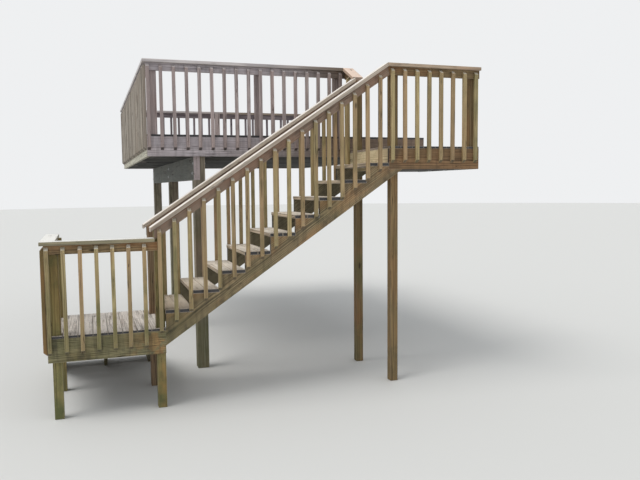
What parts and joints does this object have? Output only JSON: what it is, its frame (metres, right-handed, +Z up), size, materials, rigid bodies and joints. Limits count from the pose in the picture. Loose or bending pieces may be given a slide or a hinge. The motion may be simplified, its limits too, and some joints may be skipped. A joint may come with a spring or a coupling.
{
  "type": "wooden deck stairs",
  "caption": "Outdoor timber deck stairs: low landing on posts, straight flight with open risers, upper landing and raised deck, with baluster railings.",
  "frame": {"origin": "on the ground, at the middle of the rectangle that the whole structure covers", "axes": "+Z up, +X from the low landing towards the house wall, +Y from the flight towards the deck's far railing"},
  "size_m": [4.8446, 6.512, 3.773],
  "materials": {
    "post_timber": "weathered pressure-treated pine post",
    "framing_timber": "weathered pressure-treated pine board, green with algae in places",
    "stringer_timber": "weathered pressure-treated pine, brown",
    "tread_timber": "grey walked-on pine board",
    "baluster_timber": "weathered pine, olive tan",
    "cap_timber": "sun-bleached pine board"
  },
  "bodies": {
    "root": {"lower_landing_posts": "post_timber", "newel_posts": "post_timber", "lower_landing_rims": "framing_timber", "lower_landing_joists": "framing_timber", "lower_landing_boards": "tread_timber", "lower_near_balusters": "baluster_timber", "lower_left_balusters": "baluster_timber", "lower_rail_boards": "framing_timber", "lower_caps": "cap_timber", "ground_stringers": "stringer_timber", "ground_treads": "tread_timber", "near_stringer": "stringer_timber", "far_stringer": "stringer_timber", "stair_treads": "tread_timber", "near_flight_balusters": "baluster_timber", "far_flight_balusters": "baluster_timber", "handrail_caps": "cap_timber", "handrail_boards": "framing_timber", "upper_landing_posts": "post_timber", "upper_landing_rims": "framing_timber", "upper_landing_joists": "framing_timber", "upper_landing_boards": "tread_timber", "upper_near_balusters": "baluster_timber", "upper_rail_board": "framing_timber", "upper_cap": "cap_timber", "step_rail_cap": "cap_timber", "step_rail_board": "framing_timber", "step_rail_balusters": "baluster_timber", "wall_ledgers": "framing_timber", "deck_posts": "post_timber", "deck_beam": "framing_timber", "deck_joists": "framing_timber", "deck_rims": "framing_timber", "deck_boards": "tread_timber", "deck_rail_posts": "post_timber", "deck_near_balusters": "baluster_timber", "deck_left_balusters": "baluster_timber", "deck_far_balusters": "baluster_timber", "deck_rail_boards": "framing_timber", "deck_caps": "cap_timber"}
  },
  "joints": []
}
